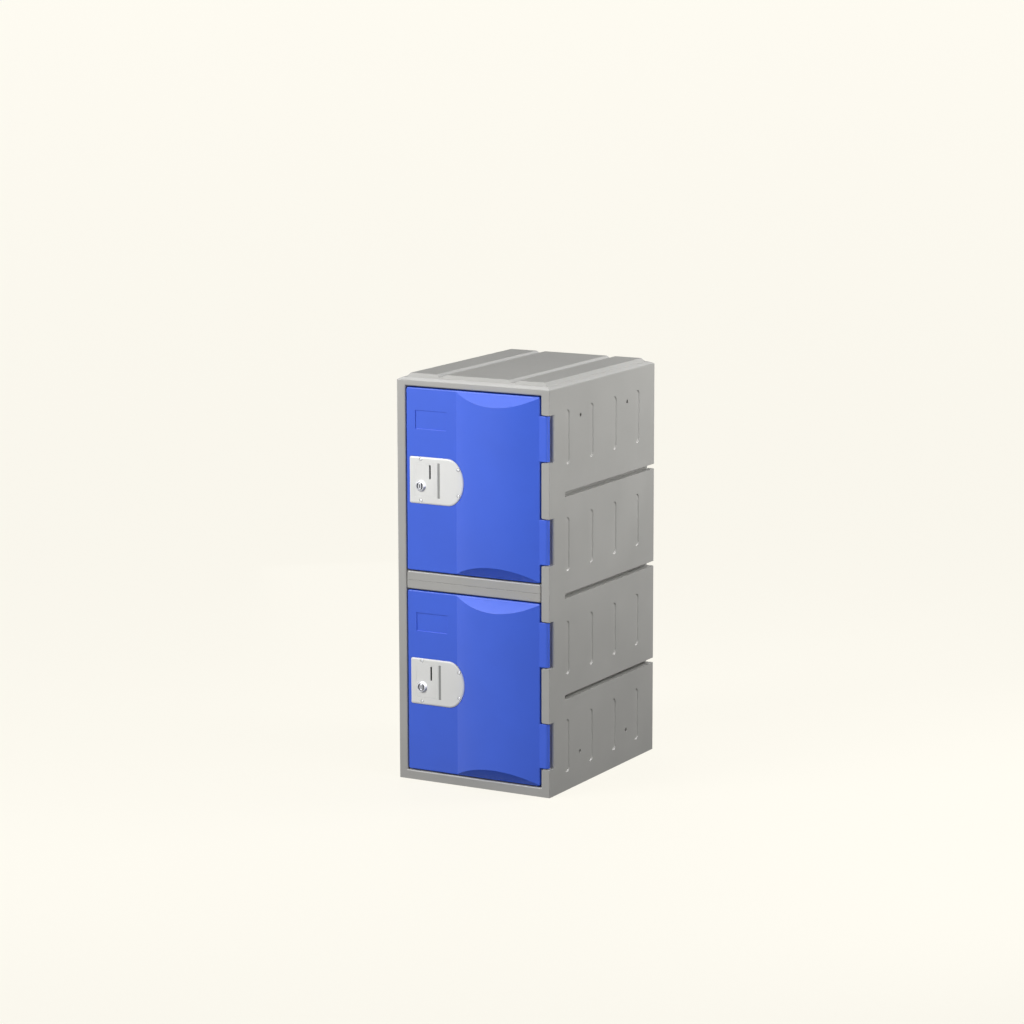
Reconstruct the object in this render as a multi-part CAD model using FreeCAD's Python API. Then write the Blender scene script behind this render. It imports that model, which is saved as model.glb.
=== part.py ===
import FreeCAD, Part
import math
import os

from FreeCAD import Vector

# Two-compartment school locker in moulded plastic, in millimetres.
# Shapes are drawn with X from the left face, Y back from the front face and Z up from the floor.
# save() then moves them to the row frame, whose origin is the centre of the base.

# ---- cabinet ----
WIDTH = 382.0
DEPTH = 500.0
SIDE_HEIGHT = 899.0          # top of the side panels, where the top panel starts
STILE = 21.5                 # width of the frame on each side of the doors
OUTER_SKIN = 2.5             # moulded wall of the side shells
LINER = 1.5                  # inner sheet of the side panels
WALL = 3.0                   # moulded wall of floors, top and doors
COLUMN_DEPTH = 29.0          # solid front column of each side shell
FRONT_CORNER = 2.5           # rounding of the upright front corners
REAR_CORNER = 1.5            # rounding of the upright rear corners
FRAME_ROUND = 3.5            # rounding of the doorway's rim
OVERSHOOT = 1.0              # how far a cutting shape reaches past the surface it opens
HOLE_GROWTH = 0.2            # clearance of a screw's hole around its shank

# ---- top panel ----
RIM_HEIGHT = 905.0           # gutter between the sloping border and the raised field
TOP_HEIGHT = 913.0           # raised field
TOP_BAND = 1.2               # upright band under the sloping border
BORDER_RUN = 11.0            # sideways run of the sloping border
BORDER_ROUND = 1.6           # rounding of the border's lower edge
RIM_ROUND = 4.0              # rounding of the border's upper edge
BORDER_HOLLOW = 1.2          # inset of the hollow's slope from the border's slope
FIELD_INSET = 15.0           # foot of the raised field from the outer faces
FIELD_SLOPE = 8.0            # sideways run of the field's sloping edge
TOP_GROOVE_OFFSET = 91.0     # grooves each side of the middle
TOP_GROOVE_WIDTH = 24.0
TOP_GROOVE_FLOOR = 8.0
TOP_GROOVE_DEPTH = 5.5
SKIRT_THICK = 5.0            # front wall of the rail above the upper door

# ---- heights of the rails between the doors ----
BASE_TOP = 21.0
CEILING_BOTTOM = 434.0
RAIL_SEAM = 454.0
SEAM_GAP = 0.5
FLOOR_TOP = 474.0
TOP_RAIL_BOTTOM = 887.0

# ---- floors and ceilings ----
RAIL_WALL = 5.0              # front wall of each floor and ceiling
RAIL_END_GAP = 1.2
RAIL_CORNER = 4.5            # rounding of the middle rail's corners seen from the front
RAIL_ROUND = 3.0             # rounding of its front edges
TRAY_RIBS = 5
RIB_HALF = 1.5
SUPPORT_WIDTH = 13.5         # support rails under the ends of the floors
SUPPORT_FRONT = 40.0
SUPPORT_GAP = 1.0
SUPPORT_SPANS = (
    (0.0, BASE_TOP - WALL),
    (CEILING_BOTTOM + WALL, FLOOR_TOP - WALL),
    (TOP_RAIL_BOTTOM + WALL, SIDE_HEIGHT),
)
SHELF_SCREW_DEPTHS = (62.0, 462.0)
SHELF_SCREW_R = 2.0
SHELF_SCREW_X = STILE + SUPPORT_WIDTH / 2
SHELF_SCREW_LENGTH = 10.0
CABINET_HEAD_R = 4.0
CABINET_HEAD_HEIGHT = 2.2
STOP_GAP = 3.0               # between the door stops and the side panels
STOP_FRONT = 26.0
STOP_THICK = 4.0
STOP_LIP = 15.0

# ---- back panel ----
BACK_FRONT = 485.0           # front face of the back panel
BACK_THICK = 4.0
BACK_RECESS = 1.5
BACK_COLUMNS = 4
BACK_PITCH = 74.0
BACK_SCREW_LENGTH = 15.0
VENT_COUNT = 5
VENT_PITCH = 44.0
VENT_WIDTH = 30.0
VENT_HEIGHT = 4.0
VENT_DROP = 22.0             # below each compartment's ceiling

# ---- side panel pattern ----
GROOVE_HEIGHTS = (211.0, 438.0, 663.5)
GROOVE_WIDTH = 11.0
GROOVE_DEPTH = 18.0
GROOVE_START = 71.0
SLOT_HEIGHTS = (100.5, 321.5, 552.0, 789.0)
SLOT_FIRST = 81.5            # depth of the first column of slots
SLOT_PITCH = 111.0
SLOT_COLUMNS = 4
SLOT_LENGTH = 120.0
SLOT_WIDTH = 20.0
SLOT_DEPTH = 2.5
SLOT_DRAFT = 0.8             # sideways run of a slot's wall per millimetre of depth
SLOT_BACKING = 2.0           # wall left behind grooves and slots
JOIN_HOLE_R = 4.25
JOIN_DEPTHS = (142.0, 364.0)
JOIN_HEIGHTS = (75.5, 829.5)

# ---- hinge ----
HINGE_X = WIDTH - 10.0
HINGE_Y = 8.0
ROD_R = 3.0
ROD_CLEARANCE = 0.06
ROD_OVERLAP = 14.0           # how far a rod runs past the tabs into the cabinet
ROD_CAP = 4.0
NOSE_X = WIDTH - 10.5        # centre of the tab's rounded nose
NOSE_R = 6.6
TAB_THICK = 6.0
TAB_ROOT = 3.0               # overlap of the tab's plate with the door
TAB_ROUND = 0.8
TAB_HEIGHT = 99.0
TAB_OFFSET = 113.0           # tab centres above and below the door's centre
TAB_GAP = 2.2
NOTCH_R = 13.5
NOTCH_FLARE = 4.5            # rounding from the notch to the side face
NOTCH_LEFT = WIDTH - STILE - 1.0
NOTCH_LIP = 18.0             # depth to which the notch is open towards the doorway
NOTCH_FRONT = -2.0
RELIEF_R = 6.0               # rounding of the knuckles beside the tabs

# ---- doors: drawn with Z from the door's own centre ----
DOOR_CENTRES = {"upper": 680.5, "lower": 227.5}
DOOR_GAP = 3.0
DOOR_LEFT = STILE + DOOR_GAP
DOOR_RIGHT = WIDTH - STILE - DOOR_GAP
DOOR_HALF = 203.5
DOOR_DEPTH = 24.0
DOOR_EDGE = 2.0
DOOR_CORNER = 4.0
DOOR_LINER = 2.0
DOOR_LINER_GAP = 0.3
BULGE_START = 150.0
BULGE_END = 356.5
BULGE_CROWN = 22.0
BULGE_ROOT = 1.0             # overlap of the bulge with the door's flat front
FACET_SLOPE = 1.14           # height lost per millimetre of bulge at its cut ends
LABEL = (46.8, 125.0, 113.0, 154.0)
LABEL_DEPTH = 1.6
LINER_SCREW_X = (36.0, DOOR_RIGHT - 9.0)
LINER_SCREW_Z = (-185.0, -70.0, 70.0, 185.0)
LINER_SCREW_R = 1.5
LINER_SCREW_LENGTH = 12.0
LINER_HEAD_R = 3.0
LINER_HEAD_HEIGHT = 1.6
BOSS_R = 5.0
BOSS_DEPTH = 14.0            # rear end of the bosses for the plate's screws
BUFFER_R = 4.0
BUFFER_X = 46.0
BUFFER_Z = 195.0
BUFFER_GAP = 0.3             # between a shut door's buffers and the stops

# ---- lock plate ----
PLATE_LEFT = 33.0
PLATE_ROUND_START = 129.0
PLATE_ROUND = 40.0
PLATE_HALF = 52.0
PLATE_DROP = 0.5
PLATE_CORNER = 4.0
PLATE_PROUD = 2.5            # plate's face in front of the door's flat face
PLATE_SEAT = 1.0             # depth of the recess it sits in
PLATE_GAP = 0.6              # recess around the plate
PLATE_BEVEL_WIDTH = 3.0
PLATE_BEVEL_HEIGHT = 1.2
POCKET_DRAFT = 0.55          # sideways run of the pocket's wall in the bulge per millimetre of height
POCKET_WALL = 1.15           # widening of the pocket for each millimetre of wall behind it
PLATE_SCREWS = ((61.5, 46.0), (61.5, -46.0), (156.5, 29.0), (156.5, -29.0))
PLATE_SCREW_R = 2.0
PLATE_SCREW_LENGTH = 12.5
PLATE_PILOT_DEPTH = 11.0
PLATE_HEAD_R = 3.2
PLATE_HEAD_HEIGHT = 1.4
PLATE_BORE_R = 4.0           # counterbore around each screw's head

# ---- coin lock ----
WINDOW = (47.0, 98.0, -36.5, 36.5)
CASE_GAP = 0.1
CASE_BODY = (43.0, 101.5, -40.0, 40.0)
CASE_WALL = 2.0
CASE_BACK = 20.0
SLEEVE_WALL = 2.5
COIN_SLOT = (85.0, 4.0, 3.5, 35.0)
COIN_MOUTH = 2.4
COIN_FIT = 0.1
COIN_SUNK = 0.3              # chute's mouth behind the plate's face
COIN_DROP = 30.0             # chute's reach below the slot
COIN_HEADROOM = 2.0
CHUTE_WALL = 1.5
LONG_SLOT = (106.9, 6.0, -38.0, 40.0)
CHANNEL_SUNK = 0.3           # long slot's insert behind the plate's face
CHANNEL_FLANGE = 1.5
CHANNEL_FIT = 0.1
LOCK_X = 61.3
LOCK_DROP = 13.0
LOCK_END = 28.0              # depth of the barrel's rear end
BEZEL_R = 13.0
BEZEL_TOP_R = 10.2
BEZEL_FRONT = -7.0
BEZEL_ROUND = 1.0
DISH_R = 8.4                 # recess around the plug's grip
DISH_DEPTH = 3.2
BARREL_OUT_R = 9.5
NUT_THICK = 3.5
NUT_R = 13.0
PLUG_HEAD_R = 6.4
PLUG_HEAD_SEAT = 1.5         # depth of the head's seat behind the dish
PLUG_PROUD = 0.3
GRIP_R = 7.6                 # raised middle of the plug, cut flat on both sides
GRIP_HALF = 3.3
GRIP_ROUND = 0.6
PLUG_R = 5.6
PLUG_CLEARANCE = 0.06
KEYWAY = (1.1, 4.2, 14.0)    # half width, half height and rear end
CAM_SQUARE = 8.0
CAM_GAP = 0.2
CAM_THICK = 2.5
CAM_LENGTH = 36.0
CAM_WIDTH = 16.0
CAM_TIP_R = 5.0
CAM_SCREW_R = 2.0
CAM_SCREW_LENGTH = 8.0
CAM_SCREW_HOLE = 8.0         # depth of its hole in the plug
CAM_HEAD_R = 6.0
CAM_HEAD_HEIGHT = 2.4

# ---- strikes on the latch side ----
STRIKE_FRONT = 25.2
STRIKE_THICK = 1.5
STRIKE_REACH = 34.0
STRIKE_HALF = 24.0
STRIKE_LEG_DEPTH = 34.0
STRIKE_SCREW_DEPTH = 48.0
STRIKE_SCREW_OFFSET = 14.0
STRIKE_SCREW_R = 1.75
STRIKE_HEAD_R = 3.2
STRIKE_HEAD_HEIGHT = 1.8

ALONG_X = Vector(1, 0, 0)
ALONG_Y = Vector(0, 1, 0)
ALONG_Z = Vector(0, 0, 1)
NODES = {}


# ---- shape helpers ----
def box(x0, x1, y0, y1, z0, z1):
    return Part.makeBox(x1 - x0, y1 - y0, z1 - z0, Vector(x0, y0, z0))


def rod(direction, x, y, z, radius, length):
    return Part.makeCylinder(radius, length, Vector(x, y, z), direction)


def join(shapes):
    first, *others = shapes
    return first.fuse(others).removeSplitter()


def cut(shape, tools):
    return shape.cut(list(tools))


def near(a, b):
    return abs(a - b) < 1e-6


def prism(points, direction):
    """Extrudes the closed outline through the points along the direction vector."""
    wire = Part.makePolygon([*points, points[0]])
    return Part.Face(wire).extrude(direction)


def loft(wires):
    """Solid with straight walls between two outlines."""
    return Part.makeLoft(wires, True, True)


def arc(start, middle, end):
    return Part.Arc(start, middle, end).toShape()


def edges_where(shape, wanted):
    """The edges whose vertices all satisfy the wanted test."""
    return [edge for edge in shape.Edges if all(wanted(v.Point) for v in edge.Vertexes)]


def rim_circles(shape, direction, position):
    """The full circles of the shape that lie at the position along the direction."""
    circles = [edge for edge in shape.Edges if len(edge.Vertexes) == 1]
    return [edge for edge in circles if near(edge.Vertexes[0].Point.dot(direction), position)]


def round_edges(shape, radius, wanted):
    return shape.makeFillet(radius, edges_where(shape, wanted))


def mirrored(shape):
    """The same shape for the other side of the locker."""
    return shape.mirror(Vector(WIDTH / 2, 0, 0), ALONG_X)


def pan_screw(place, direction, shank_r, length, head_r, head_height):
    """A pan-head screw whose head sits on the place, with its shank along the direction."""
    head = Part.makeCylinder(head_r, head_height, place, direction.negative())
    outward = direction.negative()
    crown = rim_circles(head, outward, place.dot(outward) + head_height)
    head = head.makeFillet(head_height * 0.6, crown)
    return join([head, Part.makeCylinder(shank_r, length, place, direction)])


def save(name, shape):
    """Moves the shape to the row frame and keeps it under its node name."""
    moved = shape.copy()
    moved.translate(Vector(-WIDTH / 2, -DEPTH / 2, 0))
    NODES[name] = moved


# ---- front frame ----
def rim_tool():
    """Everything in front of the doorway's rounded rim, to be cut from the frame's pieces."""
    x0, x1 = STILE, WIDTH - STILE
    z0, z1 = BASE_TOP, TOP_RAIL_BOTTOM
    reach = FRAME_ROUND + OVERSHOOT
    outer = reach + OVERSHOOT
    around = box(x0 - reach, x1 + reach, -OVERSHOOT, reach, z0 - reach, z1 + reach)
    frame = box(x0 - outer, x1 + outer, 0, outer, z0 - outer, z1 + outer)
    frame = frame.cut(box(x0, x1, -OVERSHOOT, outer + OVERSHOOT, z0, z1))

    def on_rim(p):
        on_side = near(p.x, x0) or near(p.x, x1)
        return near(p.y, 0) and on_side and (near(p.z, z0) or near(p.z, z1))

    return around.cut(round_edges(frame, FRAME_ROUND, on_rim))


# ---- side panels ----
def slot_outline(x, y, z, radius):
    """Upright slot outline in the plane at x."""
    half = (SLOT_LENGTH - SLOT_WIDTH) / 2
    left, right = y - radius, y + radius
    low, high = z - half, z + half
    return Part.Wire([
        Part.makeLine(Vector(x, left, low), Vector(x, left, high)),
        arc(Vector(x, left, high), Vector(x, y, high + radius), Vector(x, right, high)),
        Part.makeLine(Vector(x, right, high), Vector(x, right, low)),
        arc(Vector(x, right, low), Vector(x, y, low - radius), Vector(x, left, low)),
    ])


def side_slot(y, z, extra):
    """Shallow slot with sloping walls in the right face, grown by extra."""
    floor = WIDTH - SLOT_DEPTH - extra
    radius = SLOT_WIDTH / 2 + extra
    return loft([
        slot_outline(floor, y, z, radius - SLOT_DRAFT * (WIDTH - floor)),
        slot_outline(WIDTH + OVERSHOOT, y, z, radius + SLOT_DRAFT * OVERSHOOT),
    ])


def side_features(extra):
    """Grooves and slots of the right face, grown by extra."""
    half = GROOVE_WIDTH / 2 + extra
    shapes = []
    for z in GROOVE_HEIGHTS:
        shapes.append(box(WIDTH - GROOVE_DEPTH - extra, WIDTH + OVERSHOOT, GROOVE_START - extra,
                          DEPTH + OVERSHOOT, z - half, z + half))
    for i in range(SLOT_COLUMNS):
        for z in SLOT_HEIGHTS:
            shapes.append(side_slot(SLOT_FIRST + SLOT_PITCH * i, z, extra))
    return shapes


def join_holes(radius, x0, x1):
    return [rod(ALONG_X, x0, y, z, radius, x1 - x0) for y in JOIN_DEPTHS for z in JOIN_HEIGHTS]


def side_blank():
    """Outer form of the right side shell: a solid front column and a wall behind it."""
    inner = WIDTH - STILE
    wall_inner = inner + LINER
    outline = [
        Vector(inner, 0, 0), Vector(WIDTH, 0, 0), Vector(WIDTH, DEPTH, 0), Vector(wall_inner, DEPTH, 0),
        Vector(wall_inner, COLUMN_DEPTH, 0), Vector(inner, COLUMN_DEPTH, 0),
    ]
    blank = prism(outline, Vector(0, 0, SIDE_HEIGHT))
    blank = round_edges(blank, FRONT_CORNER, lambda p: near(p.x, WIDTH) and near(p.y, 0))
    return round_edges(blank, REAR_CORNER, lambda p: near(p.x, WIDTH) and near(p.y, DEPTH))


def side_shell():
    wall_inner = WIDTH - STILE + LINER
    cavity = box(wall_inner - OVERSHOOT, WIDTH - OUTER_SKIN, COLUMN_DEPTH + WALL, DEPTH - WALL,
                 WALL, SIDE_HEIGHT - WALL)
    cavity = cut(cavity, side_features(SLOT_BACKING))
    cavity = cut(cavity, join_holes(JOIN_HOLE_R + WALL, wall_inner - 2 * OVERSHOOT, WIDTH))
    shell = cut(side_blank(), [cavity])
    shell = cut(shell, side_features(0))
    return cut(shell, [*join_holes(JOIN_HOLE_R, wall_inner - OVERSHOOT, WIDTH + OVERSHOOT), rim_tool()])


def notch_ranges():
    half = TAB_HEIGHT / 2 + TAB_GAP
    for centre in DOOR_CENTRES.values():
        for offset in (-TAB_OFFSET, TAB_OFFSET):
            yield centre + offset - half, centre + offset + half


def on_circle(centre, radius, angle):
    return centre + Vector(radius * math.cos(angle), radius * math.sin(angle), 0)


def notch(z0, z1):
    """Space for a tab: round behind the rod and open to the front, the side and the doorway."""
    axis = Vector(HINGE_X, HINGE_Y, z0)
    reach = NOTCH_R + NOTCH_FLARE
    flare_x = WIDTH - NOTCH_FLARE
    flare = Vector(flare_x, HINGE_Y + math.sqrt(reach ** 2 - (flare_x - HINGE_X) ** 2), z0)
    meet_angle = math.atan2(flare.y - HINGE_Y, flare.x - HINGE_X)
    lip_angle = math.pi - math.asin((NOTCH_LIP - HINGE_Y) / NOTCH_R)
    meet = on_circle(axis, NOTCH_R, meet_angle)
    lip = on_circle(axis, NOTCH_R, lip_angle)
    side = Vector(WIDTH, flare.y, z0)
    corners = [
        Vector(NOTCH_LEFT, NOTCH_LIP, z0), Vector(NOTCH_LEFT, NOTCH_FRONT, z0),
        Vector(WIDTH + OVERSHOOT, NOTCH_FRONT, z0), Vector(WIDTH + OVERSHOOT, flare.y, z0),
    ]
    outline = Part.Wire([
        arc(side, on_circle(flare, NOTCH_FLARE, (meet_angle - math.pi) / 2), meet),
        arc(meet, on_circle(axis, NOTCH_R, (meet_angle + lip_angle) / 2), lip),
        *Part.makePolygon([lip, *corners, side]).Edges,
    ])
    return Part.Face(outline).extrude(Vector(0, 0, z1 - z0))


def corner_relief(z_end, towards):
    """Rounds the knuckle's corner beside the door, where a notch ends at z_end."""
    x0 = WIDTH - STILE
    z0, z1 = sorted((z_end, z_end + towards * RELIEF_R))
    block = box(x0 - OVERSHOOT, x0 + RELIEF_R, -OVERSHOOT, COLUMN_DEPTH, z0, z1)
    middle = z_end + towards * RELIEF_R
    keep = rod(ALONG_Y, x0 + RELIEF_R, -2 * OVERSHOOT, middle, RELIEF_R, COLUMN_DEPTH + 3 * OVERSHOOT)
    return block.cut(keep)


def hinge_cuts():
    cuts = []
    for z0, z1 in notch_ranges():
        cuts.append(notch(z0, z1))
        cuts.append(corner_relief(z0, -1))
        cuts.append(corner_relief(z1, 1))
    return cuts


def rod_spans():
    reach = TAB_OFFSET + TAB_HEIGHT / 2 + ROD_OVERLAP
    return {
        "upper": (DOOR_CENTRES["upper"] - reach, SIDE_HEIGHT),
        "lower": (ROD_CAP, DOOR_CENTRES["lower"] + reach),
    }


def hinge_side_shell():
    spans = rod_spans()
    upper_start = spans["upper"][0]
    lower_end = spans["lower"][1]
    bore_r = ROD_R + ROD_CLEARANCE
    bores = [
        rod(ALONG_Z, HINGE_X, HINGE_Y, upper_start, bore_r, SIDE_HEIGHT + OVERSHOOT - upper_start),
        rod(ALONG_Z, HINGE_X, HINGE_Y, -OVERSHOOT, bore_r, lower_end + OVERSHOOT),
    ]
    return cut(side_shell(), hinge_cuts() + bores)


def side_liner():
    x0 = WIDTH - STILE
    sheet = box(x0, x0 + LINER, COLUMN_DEPTH, DEPTH, 0, SIDE_HEIGHT)
    return cut(sheet, join_holes(JOIN_HOLE_R, x0 - OVERSHOOT, x0 + LINER + OVERSHOOT))


# ---- screws of the cabinet ----
def shelf_screw_places():
    """Each shelf screw's seat under its head, and the direction of its shank."""
    heads = ((BASE_TOP, -1), (CEILING_BOTTOM, 1), (FLOOR_TOP, -1), (TOP_RAIL_BOTTOM, 1))
    for x in (SHELF_SCREW_X, WIDTH - SHELF_SCREW_X):
        for y in SHELF_SCREW_DEPTHS:
            for z, down in heads:
                yield Vector(x, y, z), Vector(0, 0, down)


def shelf_shanks(radius):
    return [Part.makeCylinder(radius, SHELF_SCREW_LENGTH, place, way) for place, way in shelf_screw_places()]


def shelf_screws():
    return Part.makeCompound([
        pan_screw(place, way, SHELF_SCREW_R, SHELF_SCREW_LENGTH, CABINET_HEAD_R, CABINET_HEAD_HEIGHT)
        for place, way in shelf_screw_places()
    ])


def back_screw_places():
    for x in (SHELF_SCREW_X, WIDTH - SHELF_SCREW_X):
        for low, high in SUPPORT_SPANS:
            yield Vector(x, BACK_FRONT + BACK_THICK, (low + high) / 2)


def back_shanks(radius):
    forward = ALONG_Y.negative()
    return [Part.makeCylinder(radius, BACK_SCREW_LENGTH, place, forward) for place in back_screw_places()]


def back_screws():
    forward = ALONG_Y.negative()
    return Part.makeCompound([
        pan_screw(place, forward, SHELF_SCREW_R, BACK_SCREW_LENGTH, CABINET_HEAD_R, CABINET_HEAD_HEIGHT)
        for place in back_screw_places()
    ])


def support_rails():
    x1 = WIDTH - STILE
    holes = shelf_shanks(SHELF_SCREW_R) + back_shanks(SHELF_SCREW_R)
    x0 = x1 - SUPPORT_WIDTH
    rails = [box(x0, x1, SUPPORT_FRONT, BACK_FRONT, low, high) for low, high in SUPPORT_SPANS]
    return Part.makeCompound([cut(rail, holes) for rail in rails])


# ---- floors and ceilings ----
def tray(front, plate_bottom, z0, z1):
    """A plate behind its front wall, with a back wall and ribs; the ends are open over the support rails."""
    inner = RAIL_WALL - OVERSHOOT
    rail_side = STILE + SUPPORT_WIDTH + SUPPORT_GAP
    x0, x1 = front.BoundBox.XMin, front.BoundBox.XMax
    plate_top = plate_bottom + WALL
    parts = [
        front,
        box(x0, x1, inner, SUPPORT_FRONT + OVERSHOOT, plate_bottom, plate_top),
        box(STILE, WIDTH - STILE, SUPPORT_FRONT, BACK_FRONT, plate_bottom, plate_top),
        box(rail_side, WIDTH - rail_side, BACK_FRONT - WALL, BACK_FRONT, z0, z1),
    ]
    pitch = (WIDTH - 2 * rail_side) / (TRAY_RIBS + 1)
    for i in range(1, TRAY_RIBS + 1):
        x = rail_side + pitch * i
        parts.append(box(x - RIB_HALF, x + RIB_HALF, inner, BACK_FRONT - OVERSHOOT, z0, z1))
    return cut(join(parts), shelf_shanks(SHELF_SCREW_R + HOLE_GROWTH))


def rail_front(outer, seam):
    """Front wall of one half of the middle rail, rounded everywhere except along the seam."""
    x0, x1 = STILE + RAIL_END_GAP, WIDTH - STILE - RAIL_END_GAP
    wall = box(x0, x1, 0, RAIL_WALL, min(outer, seam), max(outer, seam))
    for x in (x0, x1):
        wall = round_edges(wall, RAIL_CORNER, lambda p: near(p.x, x) and near(p.z, outer))
    rim = edges_where(wall, lambda p: near(p.y, 0))
    seam_edges = edges_where(wall, lambda p: near(p.y, 0) and near(p.z, seam))
    return wall.makeFillet(RAIL_ROUND, [e for e in rim if not any(e.isSame(s) for s in seam_edges)])


def upper_floor():
    seam = RAIL_SEAM + SEAM_GAP / 2
    return tray(rail_front(FLOOR_TOP, seam), FLOOR_TOP - WALL, seam, FLOOR_TOP)


def lower_ceiling():
    seam = RAIL_SEAM - SEAM_GAP / 2
    return tray(rail_front(CEILING_BOTTOM, seam), CEILING_BOTTOM, CEILING_BOTTOM, seam)


def base_panel():
    front = box(STILE, WIDTH - STILE, 0, RAIL_WALL, 0, BASE_TOP)
    return cut(tray(front, BASE_TOP - WALL, 0, BASE_TOP), [rim_tool()])


def top_liner():
    plate = box(STILE, WIDTH - STILE, SKIRT_THICK, BACK_FRONT, TOP_RAIL_BOTTOM, TOP_RAIL_BOTTOM + WALL)
    return cut(plate, shelf_shanks(SHELF_SCREW_R + HOLE_GROWTH))


def door_stops(floor, ceiling):
    x0, x1 = STILE + STOP_GAP, WIDTH - STILE - STOP_GAP
    y1 = STOP_FRONT + STOP_THICK
    return Part.makeCompound([
        box(x0, x1, STOP_FRONT, y1, floor, floor + STOP_LIP),
        box(x0, x1, STOP_FRONT, y1, ceiling - STOP_LIP, ceiling),
    ])


# ---- top panel ----
def frustum(inset, z0, z1, slope):
    """A block inset from the outer faces, whose four sides lean in by slope between z0 and z1."""
    def ring(gap, z):
        x0, x1 = gap, WIDTH - gap
        y0, y1 = gap, DEPTH - gap
        return Part.makePolygon([
            Vector(x0, y0, z), Vector(x1, y0, z), Vector(x1, y1, z), Vector(x0, y1, z), Vector(x0, y0, z),
        ])
    return loft([ring(inset, z0), ring(inset + slope, z1)])


def rounded_ring(gap, z, radius):
    """Rectangle with rounded corners, inset by gap from the outer faces."""
    x0, x1 = gap, WIDTH - gap
    y0, y1 = gap, DEPTH - gap
    bend = radius * (1 - math.sqrt(0.5))
    return Part.Wire([
        Part.makeLine(Vector(x0 + radius, y0, z), Vector(x1 - radius, y0, z)),
        arc(Vector(x1 - radius, y0, z), Vector(x1 - bend, y0 + bend, z), Vector(x1, y0 + radius, z)),
        Part.makeLine(Vector(x1, y0 + radius, z), Vector(x1, y1 - radius, z)),
        arc(Vector(x1, y1 - radius, z), Vector(x1 - bend, y1 - bend, z), Vector(x1 - radius, y1, z)),
        Part.makeLine(Vector(x1 - radius, y1, z), Vector(x0 + radius, y1, z)),
        arc(Vector(x0 + radius, y1, z), Vector(x0 + bend, y1 - bend, z), Vector(x0, y1 - radius, z)),
        Part.makeLine(Vector(x0, y1 - radius, z), Vector(x0, y0 + radius, z)),
        arc(Vector(x0, y0 + radius, z), Vector(x0 + bend, y0 + bend, z), Vector(x0 + radius, y0, z)),
    ])


def top_border():
    """Upright band and sloping border of the top panel."""
    band_top = SIDE_HEIGHT + TOP_BAND
    band = Part.Face(rounded_ring(0, SIDE_HEIGHT, FRONT_CORNER)).extrude(Vector(0, 0, TOP_BAND))
    slope = loft([
        rounded_ring(0, band_top, FRONT_CORNER),
        rounded_ring(BORDER_RUN, RIM_HEIGHT, FRONT_CORNER),
    ])
    slab = join([band, slope])
    slab = round_edges(slab, BORDER_ROUND, lambda p: near(p.z, band_top))
    return round_edges(slab, RIM_ROUND, lambda p: near(p.z, RIM_HEIGHT))


def top_groove(x, extra):
    """A front-to-back groove in the raised field, with sloping sides."""
    top = TOP_GROOVE_WIDTH / 2 + extra
    floor = TOP_GROOVE_FLOOR / 2 + extra
    z0 = TOP_HEIGHT - TOP_GROOVE_DEPTH - extra
    outline = [
        Vector(x - floor, 0, z0), Vector(x + floor, 0, z0),
        Vector(x + top, 0, TOP_HEIGHT + OVERSHOOT / 2), Vector(x - top, 0, TOP_HEIGHT + OVERSHOOT / 2),
    ]
    return prism(outline, Vector(0, DEPTH, 0))


def top_panel():
    centres = (WIDTH / 2 - TOP_GROOVE_OFFSET, WIDTH / 2 + TOP_GROOVE_OFFSET)
    field = frustum(FIELD_INSET, RIM_HEIGHT - OVERSHOOT, TOP_HEIGHT, FIELD_SLOPE)
    panel = cut(join([top_border(), field]), [top_groove(x, 0) for x in centres])
    hollow = join([
        frustum(WALL, SIDE_HEIGHT - OVERSHOOT, RIM_HEIGHT - WALL, BORDER_RUN - BORDER_HOLLOW),
        frustum(FIELD_INSET + WALL, RIM_HEIGHT - WALL - OVERSHOOT, TOP_HEIGHT - WALL, FIELD_SLOPE),
    ])
    hollow = cut(hollow, [top_groove(x, WALL) for x in centres])
    skirt = box(STILE, WIDTH - STILE, 0, SKIRT_THICK, TOP_RAIL_BOTTOM, SIDE_HEIGHT + TOP_BAND / 2)
    return cut(join([cut(panel, [hollow]), skirt]), [rim_tool()])


def back_panel():
    """Rear wall with upright stiffening recesses and a row of air slots high in each compartment."""
    y1 = BACK_FRONT + BACK_THICK
    middle = WIDTH / 2
    sheet = box(STILE, WIDTH - STILE, BACK_FRONT, y1, 0, SIDE_HEIGHT)
    tools = back_shanks(SHELF_SCREW_R + HOLE_GROWTH)
    for z in SLOT_HEIGHTS:
        for i in range(BACK_COLUMNS):
            x = middle + BACK_PITCH * (i - (BACK_COLUMNS - 1) / 2)
            tools.append(box(x - SLOT_WIDTH / 2, x + SLOT_WIDTH / 2, y1 - BACK_RECESS, y1 + OVERSHOOT,
                             z - SLOT_LENGTH / 2, z + SLOT_LENGTH / 2))
    for ceiling in (CEILING_BOTTOM, TOP_RAIL_BOTTOM):
        z = ceiling - VENT_DROP
        for i in range(VENT_COUNT):
            x = middle + VENT_PITCH * (i - (VENT_COUNT - 1) / 2)
            tools.append(box(x - VENT_WIDTH / 2, x + VENT_WIDTH / 2, BACK_FRONT - OVERSHOOT, y1 + OVERSHOOT,
                             z - VENT_HEIGHT / 2, z + VENT_HEIGHT / 2))
    return cut(sheet, tools)


# ---- strikes ----
def strike_screw_places(centre):
    z = centre - LOCK_DROP
    return [(STRIKE_SCREW_DEPTH, z - STRIKE_SCREW_OFFSET), (STRIKE_SCREW_DEPTH, z + STRIKE_SCREW_OFFSET)]


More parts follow.
